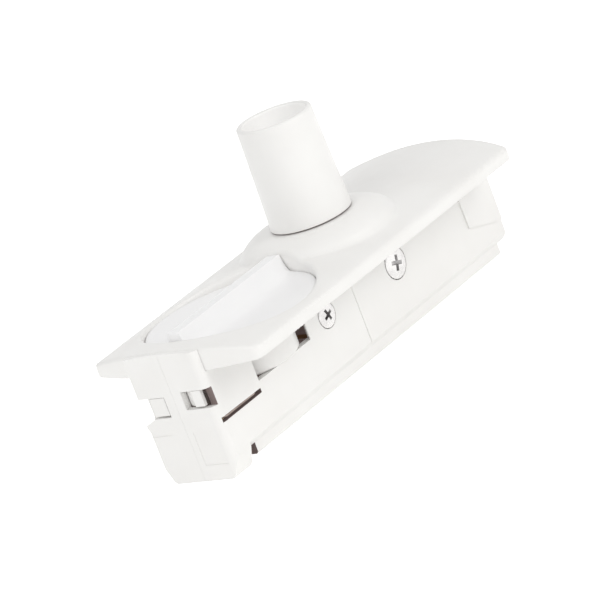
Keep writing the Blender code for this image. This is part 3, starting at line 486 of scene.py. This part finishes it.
def coverBase(x, y):
    c = cover
    reach = math.hypot(x - c["stemX"], y)
    inset = coverInset(x, y)
    if reach < c["domeHollow"]:
        return c["domeRoof"]
    if inset < c["wall"] or math.hypot(x - c["wellX"], y) < c["wellRadius"] + c["wellWall"]:
        return c["seat"] + roundDrop(inset, c["footRound"])
    if reach < c["domeFootRadius"]:
        return c["domeFoot"]
    return crownHeight(y) - c["wall"]


def coverOutline(inset, step):
    # walks the outline at an inset by sliding rays in from outside
    c = cover
    spots = []
    count = int(2 * (c["width"] + c["length"]) / step)
    for i in range(count):
        turn = 2 * math.pi * (i + 0.5) / count
        ray = Vector((math.cos(turn) * c["length"], math.sin(turn) * c["width"])).normalized()
        near, far = 0.0, c["length"]
        for _ in range(40):
            middle = (near + far) / 2
            if coverInset(ray.x * middle, ray.y * middle) > inset:
                near = middle
            else:
                far = middle
        spots.append((ray.x * near, ray.y * near))
    return spots


def buildCover():
    c = cover
    well, hole = (c["wellX"], 0), (c["stemX"], 0)
    bed = PointBed()
    bed.addLoop(coverOutline(0.0, c["outlineStep"]))
    bed.addLoop(ringPoints(well, c["wellRadius"], c["wellSteps"]))
    bed.addLoop(ringPoints(hole, c["holeRadius"], c["holeSteps"]))

    def onCover(x, y):
        fromRim = math.hypot(x - c["wellX"], y) - c["wellRadius"]
        return coverInset(x, y) > c["edgeClear"] and fromRim > c["rimClear"]

    for offset in c["wellRows"]:
        bed.addFree(ringPoints(well, c["wellRadius"] + offset, c["wellSteps"], offset), c["rowApart"], onCover)
    for offset in (-c["turn"], c["turn"]):
        radius = c["wellRadius"] + c["wellWall"] + offset
        bed.addFree(ringPoints(well, radius, c["wellSteps"]), c["turnApart"], onCover)
    for inset in c["edgeRows"]:
        bed.addFree(coverOutline(inset, c["outlineStep"]), c["rowApart"], onCover)
    for inset in (-c["turn"], c["turn"]):
        bed.addFree(coverOutline(c["wall"] + inset, c["outlineStep"]), c["turnApart"], onCover)
    for offset in c["holeRows"]:
        bed.addFree(ringPoints(hole, c["holeRadius"] + offset, c["holeSteps"]), c["rowApart"], onCover)
    for middle in (c["domeHollow"], c["domeFootRadius"]):
        for radius in (middle - c["turn"], middle + c["turn"]):
            bed.addFree(ringPoints(hole, radius, c["domeSteps"]), c["turnApart"], onCover)
    radius = c["skinStart"]
    while radius < c["domeFootRadius"] + c["skinPast"]:
        ring = ringPoints(hole, radius, int(radius * c["skinSteps"]), radius)
        bed.addFree(ring, c["domeApart"], onCover)
        radius += c["skinRise"]
    bed.addFree(staggeredGrid(c["gridStep"], c["gridStart"], c["gridCount"]), c["gridApart"], onCover)

    def inHole(x, y):
        return math.hypot(x - c["wellX"], y) < c["wellRadius"] or math.hypot(x - c["stemX"], y) < c["holeRadius"]

    spots, faces = bed.triangles(inHole)
    piece = skinSolid("crownedCover", spots, faces, coverTop, coverBase, "whiteMoulding")
    softShade(piece, 38)
    return stand(piece, "shell", "white_moulding", "cover")


buildCover()
print("cover: crowned skin, dome, lock well and underside")


knob = dict(
    x=-22.5, radius=15.15, foot=19.2, rim=21.3, rimRound=0.35,
    gripHalf=1.2, gripTop=24.45, gripRound=0.35, gripRun=6.0, gripFall=6.6, endFall=12.0,
    endPower=6, crestShare=0.6, dish=0.95, dishMiddle=5.5, dishSpread=6.4,
    spigot=5.6, spigotRound=0.5, spigotFoot=16.2, spigotChamfer=0.3, spigotGap=0.05, pilot=1.45,
    gridStep=0.5, gridCount=61, gridApart=0.3, steps=200, rimClear=0.02, rimRows=(0.03, 0.09, 0.18, 0.35, 0.7),
    # distances from the grip's middle line of the point rows along it
    gripRows=(0.0, 0.5, 0.8, 0.92, 1.02, 1.1, 1.15, 1.2, 1.3, 1.45, 1.65, 1.9, 2.2, 2.55, 2.95, 3.4, 3.9),
    gripStep=0.22, gripCount=140, gripApart=0.04,
)


def knobTop(x, y):
    k = knob
    u = x - k["x"]
    reach = math.hypot(u, y)
    side = abs(y)
    # scooped disc: lowest beside the grip, level again at the rim
    spread = min(reach / k["radius"], 1.0)
    disc = k["rim"] - k["dish"] * (1 - spread ** 2) * math.exp(-((side - k["dishMiddle"]) / k["dishSpread"]) ** 2)
    share = min(max((side - k["gripHalf"]) / k["gripRun"], 0.0), 1.0)
    fall = k["gripFall"] + (k["endFall"] - k["gripFall"]) * spread ** k["endPower"]
    flank = disc + (k["gripTop"] - disc) * (1 - share) ** fall
    if side < k["gripHalf"]:
        flank = k["gripTop"] - roundDrop(k["gripHalf"] - side, k["gripRound"]) * k["crestShare"]
    return flank - roundDrop(k["radius"] - reach, k["rimRound"])


def buildKnob():
    k = knob
    centre = (k["x"], 0)
    bed = PointBed()
    bed.addLoop(ringPoints(centre, k["radius"], k["steps"]))

    def onKnob(x, y):
        return math.hypot(x - k["x"], y) < k["radius"] - k["rimClear"]

    for offset in k["rimRows"]:
        bed.addFree(ringPoints(centre, k["radius"] - offset, k["steps"]), k["rimClear"], onKnob)
    for side in (1, -1):
        for line in k["gripRows"]:
            row = [(k["x"] - k["radius"] + k["gripStep"] * i, side * line) for i in range(k["gripCount"])]
            bed.addFree(row, k["gripApart"], onKnob)
    reach = k["gridStep"] * (k["gridCount"] - 1) / 2
    rows = staggeredGrid(k["gridStep"], (k["x"] - reach, -reach), (k["gridCount"], k["gridCount"]))
    bed.addFree(rows, k["gridApart"], onKnob)
    spots, faces = bed.triangles(lambda x, y: False)
    piece = skinSolid("lockKnob", spots, faces, knobTop, lambda x, y: k["foot"], "knobMoulding")
    softShade(piece, 40)
    return stand(piece, "lock", "knob_moulding", "rotary_knob")


def buildKnobSpigot():
    # the square stub under the knob that turns the rotor, with its screw pilot
    k = knob
    shape = bmesh.new()
    flat = k["spigot"] / 2 - k["spigotRound"]
    corners = []
    for cx, cy, start in ((1, 1, 0), (-1, 1, 90), (-1, -1, 180), (1, -1, 270)):
        for step in range(5):
            turn = math.radians(start + 22.5 * step)
            corners.append((cx * flat + k["spigotRound"] * math.cos(turn),
                            cy * flat + k["spigotRound"] * math.sin(turn)))
    holes = ringPoints((0, 0), k["pilot"], len(corners), math.radians(8))
    foot, top = k["spigotFoot"], k["foot"] - k["spigotGap"]
    levels = ((foot, 0.94), (foot + k["spigotChamfer"], 1.0), (top, 1.0))
    outer = [[vertexAt(shape, k["x"] + x * share, y * share, z) for x, y in corners] for z, share in levels]
    inner = [[vertexAt(shape, k["x"] + x, y, z) for x, y in holes] for z in (foot, top)]
    for ring, after in (*zip(outer, outer[1:]), inner, (outer[0], inner[0]), (outer[-1], inner[1])):
        bridge(shape, ring, after)
    piece = softShade(toObject("knobSpigot", shape, "knobMoulding"), 35)
    return stand(piece, "lock", "knob_moulding")


buildKnob()
buildKnobSpigot()
print("knob: scooped disc, grip and square spigot")


stem = dict(
    x=5.0, foot=25.92, top=44.6, footRadius=7.3, topRadius=6.75, mouth=5.7, bore=5.15, boreFoot=5.2,
    lip=0.45, footRound=0.1, underFoot=25.96, steps=128, roundSteps=5, wallSteps=12, lipSteps=12,
    # (radius past the bore or mouth, depth below the top) down the mouth's funnel
    funnel=((0.5, 1.4), (0.16, 2.6), (0.0, 3.4)), boreFootRise=4.0, mouthDepth=3.0,
    nippleRadius=4.9, nippleBore=3.9, nippleLow=19.3, nippleTop=40.4, pitch=1.0, threadDepth=0.32,
    threadSteps=64, threadLevels=168, threadRunOut=0.45, runOutSlope=0.8,
)


def buildSleeve():
    s = stem
    profile = [(s["boreFoot"], s["foot"])]
    for i in range(s["roundSteps"] + 1):
        turn = math.pi / 2 * i / s["roundSteps"]
        profile.append((s["footRadius"] - s["footRound"] * (1 - math.sin(turn)),
                        s["foot"] + s["footRound"] * (1 - math.cos(turn))))
    for i in range(1, s["wallSteps"]):
        share = i / s["wallSteps"]
        profile.append((s["footRadius"] + (s["topRadius"] - s["footRadius"]) * share,
                        s["foot"] + s["footRound"] + (s["top"] - s["lip"] - s["foot"] - s["footRound"]) * share))
    wall = s["topRadius"] - s["mouth"]
    middle = s["mouth"] + wall / 2
    for i in range(s["lipSteps"] + 1):
        turn = math.pi * i / s["lipSteps"]
        profile.append((middle + wall / 2 * math.cos(turn), s["top"] - s["lip"] + s["lip"] * math.sin(turn)))
    profile += [(s["bore"] + wider, s["top"] - depth) for wider, depth in s["funnel"]]
    mouthFoot = s["nippleTop"] - s["mouthDepth"]
    profile += [(s["bore"], mouthFoot), (s["boreFoot"], s["foot"] + s["boreFootRise"])]
    piece = lathe("stemSleeve", profile, (s["x"], 0), s["steps"], "sleeveMoulding", 38)
    piece.data.materials.append(finishes["paintedShadeMoulding"])
    piece.data.materials.append(finishes["mouthPaintedLight"])
    # painted shade on the sleeve's underside faces, painted light with a glow on the faces inside the mouth
    for face in piece.data.polygons:
        at = face.center / mm
        if at.z < s["underFoot"] and face.normal.z < -0.9:
            face.material_index = 1
        if math.hypot(at.x - s["x"], at.y) < s["mouth"] + 0.1 and at.z > mouthFoot:
            face.material_index = 2
    return stand(piece, "stem", "white_moulding", "stem_sleeve")


def buildNipple():
    # a threaded tube: the outside is a height field over turn and length
    s = stem
    shape = bmesh.new()
    around = s["threadSteps"]
    low, high = s["nippleLow"], s["nippleTop"]
    rings = []
    for level in range(s["threadLevels"] + 1):
        z = low + (high - low) * level / s["threadLevels"]
        runOut = max(s["threadRunOut"] - min(z - low, high - z), 0) * s["runOutSlope"]
        ring = []
        for i in range(around):
            turn = 2 * math.pi * i / around
            phase = (z / s["pitch"] - i / around) % 1.0
            radius = s["nippleRadius"] - s["threadDepth"] * abs(phase - 0.5) * 2 - runOut
            ring.append(vertexAt(shape, s["x"] + radius * math.cos(turn), radius * math.sin(turn), z))
        rings.append(ring)
    for z in (high, low):
        rings.append([vertexAt(shape, x, y, z) for x, y in ringPoints((s["x"], 0), s["nippleBore"], around)])
    for ring, after in zip(rings, rings[1:] + rings[:1]):
        bridge(shape, ring, after)
    piece = softShade(toObject("threadedNipple", shape, "zincPlate"), 50)
    return stand(piece, "stem", "zinc", "stem_nipple")


buildSleeve()
buildNipple()
stand(roundEdges(copyNode("stem_washer", "stemWasher", "nickelPlate"), 0.12), "stem", "plated_steel", "stem_washer")
stand(roundEdges(copyNode("stem_nut", "stemNut", "zincPlate"), 0.2), "stem", "zinc", "stem_nut")
print("stem: sleeve, threaded nipple, washer and nut")


body = dict(
    edgeRound=0.14, top=18.6, topNow=18.86, windowFloor=11.6,
    seamHalf=0.15, seamNow=0.012, seamFaces=0.05,
    padLeft=-40.4, padHalf=8.1, padNow=7.81,
    partingX=-1.0, partingReach=0.2, partingFloor=7.68, partingNow=7.74,
    # the counterbores: x, height and radius in the CAD, then here, and the two depths they lie between
    bores=((-9.25, 13.0, 3.3, -9.13, 13.24, 2.4), (12.25, 13.0, 3.3, 12.15, 12.8, 2.97)), boreDepths=(-8.2, -6.6),
    # boxes (left, right, far y, near y, low, high) whose walls get painted shade
    paintedShadeBoxes=((-41.65, 43.0, -6.45, 6.45, 1.7, 17.45), (-42.2, -30.9, -7.75, -5.0, 9.65, 10.65),
            (-42.2, -30.9, 5.0, 7.75, 9.65, 10.65), (-41.95, -40.0, -7.75, -1.95, 12.8, 16.25)),
)


def fitHousing(vertex):
    # closes the seam, lifts the top, flattens the pad's end and the parting line, moves the counterbores
    b = body
    at = vertex.co / mm
    out = abs(at.y)
    if close(out, b["seamHalf"]):
        vertex.co.y = math.copysign(b["seamNow"] * mm, at.y)
    if close(at.z, b["top"]):
        vertex.co.z = b["topNow"] * mm
    if close(at.x, b["padLeft"]) and close(out, b["padHalf"]):
        vertex.co.y = math.copysign(b["padNow"] * mm, at.y)
    if close(at.x, b["partingX"], b["partingReach"]) and close(out, b["partingFloor"]):
        vertex.co.y = math.copysign(b["partingNow"] * mm, at.y)
    if b["boreDepths"][0] < at.y < b["boreDepths"][1]:
        for oldX, oldZ, oldRadius, newX, newZ, newRadius in b["bores"]:
            if close(math.hypot(at.x - oldX, at.z - oldZ), oldRadius, 0.06):
                vertex.co.x = (newX + (at.x - oldX) * newRadius / oldRadius) * mm
                vertex.co.z = (newZ + (at.z - oldZ) * newRadius / oldRadius) * mm


def staysSharp(a, z):
    # the edges of the seam and of the parting line
    b = body
    onSeam = max(abs(a.y), abs(z.y)) < b["seamNow"] * 2
    onParting = all(close(end.x, b["partingX"], b["partingReach"]) and abs(end.y) > b["partingFloor"] for end in (a, z))
    return onSeam or onParting


def buildHousing(node, name):
    b = body
    piece = copyNode(node, name, "whiteMoulding")
    for vertex in piece.data.vertices:
        fitHousing(vertex)
    keepEdges(piece, staysSharp)
    roundEdges(piece, b["edgeRound"], weighted=True)
    # painted shade: faces inside the boxes, but not on the seam or the window's floor, get the dark moulding
    piece.data.materials.append(finishes["paintedShadeMoulding"])
    for face in piece.data.polygons:
        at = face.center / mm
        if close(at.y, 0, b["seamFaces"]) or close(at.z, b["windowFloor"], 0.1) and face.normal.z > 0.9:
            continue
        for left, right, first, last, low, high in b["paintedShadeBoxes"]:
            if left < at.x < right and first < at.y < last and low < at.z < high:
                face.material_index = 1
    return stand(piece, "shell", "white_moulding", node)


buildHousing("near_housing", "nearBodyHalf")
buildHousing("far_housing", "farBodyHalf")
print("body: two halves with eased edges")


screw = dict(
    base=7.3, crest=0.85, rim=0.5, rimEase=0.1, rimFoot=0.08, lap=0.02, steps=72, domeSteps=10, edgeRound=0.06,
    shank=1.15, tip=4.6, taper=1.0, tipRadius=0.55,
    # the recess: width and reach as shares of the head's radius, depth, shares at its foot and past its mouth
    recess=0.28, reach=1.1, depth=1.0, footWidth=0.72, footReach=0.55, mouthReach=1.15, mouthRise=0.6,
    # where its painted shade starts and ends: share of the reach, depth below the head's foot, and below the dome
    paintedShadeReach=0.6, paintedShadeFoot=0.5, paintedShadeSkin=0.12,
)
# x and height of the axis, head radius, turn of the recess
screwHeads = dict(left=(-9.13, 13.24, 2.25, 24), right=(12.15, 12.8, 2.8, -18))


def buildRecessArm(name, radius, spin):
    s = screw
    crest = s["base"] + s["crest"]
    wide, reach = s["recess"] * radius / 2, s["reach"] * radius / 2
    shape = bmesh.new()
    rings = []
    for z, half, long in ((crest - s["depth"], wide * s["footWidth"], reach * s["footReach"]),
                          (crest + s["mouthRise"], wide, reach * s["mouthReach"])):
        rings.append([vertexAt(shape, x, y, z) for x, y in
                      ((long, half), (-long, half), (-long, -half), (long, -half))])
    shape.faces.new(rings[0])
    shape.faces.new(rings[1])
    bridge(shape, *rings)
    arm = toObject(name, shape)
    arm.data.transform(Matrix.Rotation(math.radians(spin), 4, "Z"))
    return arm


def buildScrew(node, name, x, height, radius, turn):
    s = screw
    base, bulge = s["base"], s["crest"] - s["rim"]
    profile = [(0, -s["tip"]), (s["tipRadius"], -s["tip"]), (s["shank"], s["taper"] - s["tip"]),
               (s["shank"], base - s["lap"]), (radius - s["rimEase"], base - s["lap"]), (radius, base + s["rimFoot"]),
               (radius, base + s["rim"])]
    for i in range(1, s["domeSteps"]):
        angle = math.pi / 2 * i / s["domeSteps"]
        profile.append((radius * math.cos(angle), base + s["rim"] + bulge * math.sin(angle)))
    profile.append((0, base + s["crest"]))
    piece = lathe(name, profile, (0, 0), s["steps"], "nickelPlate", 45)
    arms = [buildRecessArm(name + "Recess", radius, spin) for spin in (0, 90)]
    for arm in arms:
        cut = piece.modifiers.new("recess", "BOOLEAN")
        cut.operation = "DIFFERENCE"
        cut.solver = "EXACT"
        cut.object = arm
    applyModifiers(piece)
    for arm in arms:
        bpy.data.objects.remove(arm)
    # painted shade: faces deep in the cross recess get the darker metal
    piece.data.materials.append(finishes["recessPaintedShade"])
    for face in piece.data.polygons:
        away, level = face.center.xy.length / mm, face.center.z / mm
        dome = base + s["rim"] + bulge * math.sqrt(max(1 - (away / radius) ** 2, 0.0))
        if away < s["reach"] * radius * s["paintedShadeReach"] and base - s["paintedShadeFoot"] < level < dome - s["paintedShadeSkin"]:
            face.material_index = 1
    piece.data.transform(Matrix.Translation(Vector((x, 0, height)) * mm) @ Matrix.Rotation(math.radians(90), 4, "X")
                         @ Matrix.Rotation(math.radians(turn), 4, "Z"))
    roundEdges(piece, s["edgeRound"], 2, 35)
    return stand(piece, "shell", "plated_steel", node)


for label, head in screwHeads.items():
    buildScrew("housing_screw_" + label, label + "BodyScrew", *head)
print("screws: low domed heads with tapered cross recesses")


smallPieces = (
    ("lock_rotor", "lockRotor", "lock", "whiteMoulding", "white_moulding", 0.15),
    ("lock_plate", "lockPlate", "lock", "nickelPlate", "plated_steel", 0.08),
    ("rotor_screw", "rotorScrew", "lock", "nickelPlate", "plated_steel", 0.08),
    ("detent_spring", "detentSpring", "shell", "springSteel", "plated_steel", 0.05),
    ("near_contact_slide", "nearContactSlide", "near_contact", "whiteMoulding", "white_moulding", 0.4),
    ("far_contact_slide", "farContactSlide", "far_contact", "whiteMoulding", "white_moulding", 0.4),
    # the blades' copper finish carries painted shade
    ("near_contact_blade", "nearContactBlade", "near_contact", "bladeCopperPaintedShade", "brass", 0.06),
    ("far_contact_blade", "farContactBlade", "far_contact", "bladeCopperPaintedShade", "brass", 0.06),
    ("near_contact_strip", "nearContactStrip", "shell", "contactBrass", "brass", 0.06),
    ("far_contact_strip", "farContactStrip", "shell", "contactBrass", "brass", 0.06),
    ("near_terminal", "nearTerminal", "shell", "contactBrass", "brass", 0.15),
    ("far_terminal", "farTerminal", "shell", "contactBrass", "brass", 0.15),
    ("near_terminal_screw", "nearTerminalScrew", "shell", "nickelPlate", "plated_steel", 0.08),
    ("far_terminal_screw", "farTerminalScrew", "shell", "nickelPlate", "plated_steel", 0.08),
)
drum = dict(
    x=-22.5, radius=8.4, radiusNow=8.75, skin=0.4, bottom=12.0, bottomNow=11.68, foot=0.5, top=13.9, topLap=0.05,
    rimInner=7.3, rimFoot=13.6, rimTop=15.65, rimInset=0.02, rimHalf=52, rimSteps=24, rimRound=0.15,
)
nose = dict(front=-42.45, side=2.2, frontNow=-41.75)


def fillWindow(piece):
    # the lock drum bulges a little further out of its window and sits low in it
    d = drum
    for vertex in piece.data.vertices:
        at = vertex.co / mm
        reach = math.hypot(at.x - d["x"], at.y)
        if reach > d["radius"] - d["skin"] and at.z < d["top"] + d["topLap"]:
            grow = d["radiusNow"] / d["radius"]
            vertex.co.x = (d["x"] + (at.x - d["x"]) * grow) * mm
            vertex.co.y = at.y * grow * mm
            if at.z < d["bottom"] + d["foot"]:
                vertex.co.z = (at.z - d["bottom"] + d["bottomNow"]) * mm


def easeNose(piece):
    # the nose's inner side falls back towards the slot's wall
    for vertex in piece.data.vertices:
        at = vertex.co / mm
        if close(at.x, nose["front"]) and close(abs(at.y), nose["side"]):
            vertex.co.x = nose["frontNow"] * mm


def buildDrumRims():
    # two upright rims on the drum, one behind each window at rest
    d = drum
    outer = d["radiusNow"] - d["rimInset"]
    section = ((d["rimInner"], d["rimFoot"]), (outer, d["rimFoot"]), (outer, d["rimTop"]), (d["rimInner"], d["rimTop"]))
    shape = bmesh.new()
    for middle in (-90, 90):
        rings = []
        for i in range(d["rimSteps"] + 1):
            turn = math.radians(middle - d["rimHalf"] + 2 * d["rimHalf"] * i / d["rimSteps"])
            rings.append([vertexAt(shape, d["x"] + r * math.cos(turn), r * math.sin(turn), z) for r, z in section])
        for ring, after in zip(rings, rings[1:]):
            bridge(shape, ring, after)
        shape.faces.new(rings[0])
        shape.faces.new(rings[-1][::-1])
    piece = roundEdges(toObject("drumRims", shape, "whiteMoulding"), d["rimRound"])
    return stand(piece, "lock", "white_moulding")


buildDrumRims()
for node, name, bodyName, finish, slot, width in smallPieces:
    piece = copyNode(node, name, finish)
    if node == "lock_rotor":
        fillWindow(piece)
    if node == "near_contact_slide":
        easeNose(piece)
    stand(roundEdges(piece, width), bodyName, slot, node)
print("inner pieces:", len(smallPieces))


studio = dict(
    floorHalf=3.0, floorDrop=0.05, floorColour=(0.90, 0.90, 0.895), floorLift=0.72, floorBounce=0.20,
    ambient=0.67, ambientColour=(1.0, 0.998, 0.993), lamps=(
        dict(name="keyLamp", at=(0.12, -0.78, 0.52), size=0.55, power=2.25, colour=(1.0, 0.995, 0.985)),
        dict(name="fillLamp", at=(-0.72, -0.10, 0.56), size=0.6, power=1.55, colour=(0.995, 0.998, 1.0)),
    ),
    target=(0.0, 0.0, 0.02),
)
view = dict(azimuth=-48.646, elevation=15.778, roll=20.969, focal=4918.612, distance=833.446,
            centreX=315.769, centreY=260.502, target=(2.05, 0.0, 18.9), frame=600.0, sensor=36.0)


def buildFloor():
    s = studio
    shape = bmesh.new()
    half = s["floorHalf"]
    corners = [shape.verts.new((x, y, -s["floorDrop"] * mm)) for x, y in
               ((-half, -half), (half, -half), (half, half), (-half, half))]
    shape.faces.new(corners)
    floor = toObject("studioFloor", shape)
    material = bpy.data.materials.new("paleFloor")
    material.use_nodes = True
    tree = material.node_tree
    shader = tree.nodes["Principled BSDF"]
    shader.inputs["Base Color"].default_value = (*s["floorColour"], 1)
    shader.inputs["Roughness"].default_value = 0.9
    shader.inputs["Specular IOR Level"].default_value = 0.1
    shader.inputs["Emission Color"].default_value = (1, 1, 1, 1)
    path = addNode(tree, "ShaderNodeLightPath", -700, -200)
    seen = addNode(tree, "ShaderNodeMath", -500, -200, operation="ADD", use_clamp=True)
    lift = addNode(tree, "ShaderNodeMath", -300, -200, operation="MULTIPLY_ADD")
    lift.inputs[1].default_value = s["floorLift"] - s["floorBounce"]
    lift.inputs[2].default_value = s["floorBounce"]
    tree.links.new(path.outputs["Is Camera Ray"], seen.inputs[0])
    tree.links.new(path.outputs["Is Glossy Ray"], seen.inputs[1])
    tree.links.new(seen.outputs["Value"], lift.inputs[0])
    tree.links.new(lift.outputs["Value"], shader.inputs["Emission Strength"])
    floor.data.materials.append(material)


def buildWorld():
    world = bpy.data.worlds.new("studioWorld")
    bpy.context.scene.world = world
    world.use_nodes = True
    tree = world.node_tree
    tree.nodes.clear()
    leave = addNode(tree, "ShaderNodeOutputWorld", 500, 0)
    backdrop = addNode(tree, "ShaderNodeBackground", 0, 120)
    backdrop.inputs["Color"].default_value = (1, 1, 1, 1)
    backdrop.inputs["Strength"].default_value = 1.0
    ambient = addNode(tree, "ShaderNodeBackground", 0, -80)
    ambient.inputs["Color"].default_value = (*studio["ambientColour"], 1)
    ambient.inputs["Strength"].default_value = studio["ambient"]
    path = addNode(tree, "ShaderNodeLightPath", -500, 200)
    first = addNode(tree, "ShaderNodeMath", -300, 200, operation="MAXIMUM")
    second = addNode(tree, "ShaderNodeMath", -130, 200, operation="MAXIMUM")
    mix = addNode(tree, "ShaderNodeMixShader", 280, 0)
    tree.links.new(path.outputs["Is Camera Ray"], first.inputs[0])
    tree.links.new(path.outputs["Is Glossy Ray"], first.inputs[1])
    tree.links.new(first.outputs["Value"], second.inputs[0])
    tree.links.new(path.outputs["Is Transmission Ray"], second.inputs[1])
    tree.links.new(second.outputs["Value"], mix.inputs["Fac"])
    tree.links.new(ambient.outputs["Background"], mix.inputs[1])
    tree.links.new(backdrop.outputs["Background"], mix.inputs[2])
    tree.links.new(mix.outputs["Shader"], leave.inputs["Surface"])


def buildLamps():
    target = Vector(studio["target"])
    for lamp in studio["lamps"]:
        light = bpy.data.lights.new(lamp["name"], "AREA")
        light.shape = "DISK"
        light.size = lamp["size"]
        light.energy = lamp["power"]
        light.color = lamp["colour"]
        holder = bpy.data.objects.new(lamp["name"], light)
        holder.location = lamp["at"]
        holder.rotation_euler = (target - Vector(lamp["at"])).to_track_quat("-Z", "Y").to_euler()
        bpy.context.scene.collection.objects.link(holder)


def buildCamera():
    v = view
    azimuth, elevation, roll = (math.radians(v[key]) for key in ("azimuth", "elevation", "roll"))
    back = Vector((math.sin(azimuth) * math.cos(elevation), -math.cos(azimuth) * math.cos(elevation),
                   math.sin(elevation)))
    right = Vector((math.cos(azimuth), math.sin(azimuth), 0))
    up = back.cross(right)
    across = math.cos(roll) * right - math.sin(roll) * up
    upward = math.sin(roll) * right + math.cos(roll) * up
    place = (Vector(v["target"]) + back * v["distance"]) * mm
    lens = bpy.data.cameras.new("photoCamera")
    lens.sensor_fit = "HORIZONTAL"
    lens.sensor_width = v["sensor"]
    lens.lens = v["focal"] / v["frame"] * v["sensor"]
    lens.shift_x = -(v["centreX"] - v["frame"] / 2) / v["frame"]
    lens.shift_y = (v["centreY"] - v["frame"] / 2) / v["frame"]
    lens.clip_start = 0.01
    camera = bpy.data.objects.new("photoCamera", lens)
    camera.matrix_world = Matrix((
        (across.x, upward.x, back.x, place.x),
        (across.y, upward.y, back.y, place.y),
        (across.z, upward.z, back.z, place.z),
        (0, 0, 0, 1),
    ))
    bpy.context.scene.collection.objects.link(camera)
    bpy.context.scene.camera = camera


buildFloor()
buildWorld()
buildLamps()
buildCamera()
bpy.context.scene.view_settings.view_transform = "Standard"
print("studio: floor, world, lamps and camera")
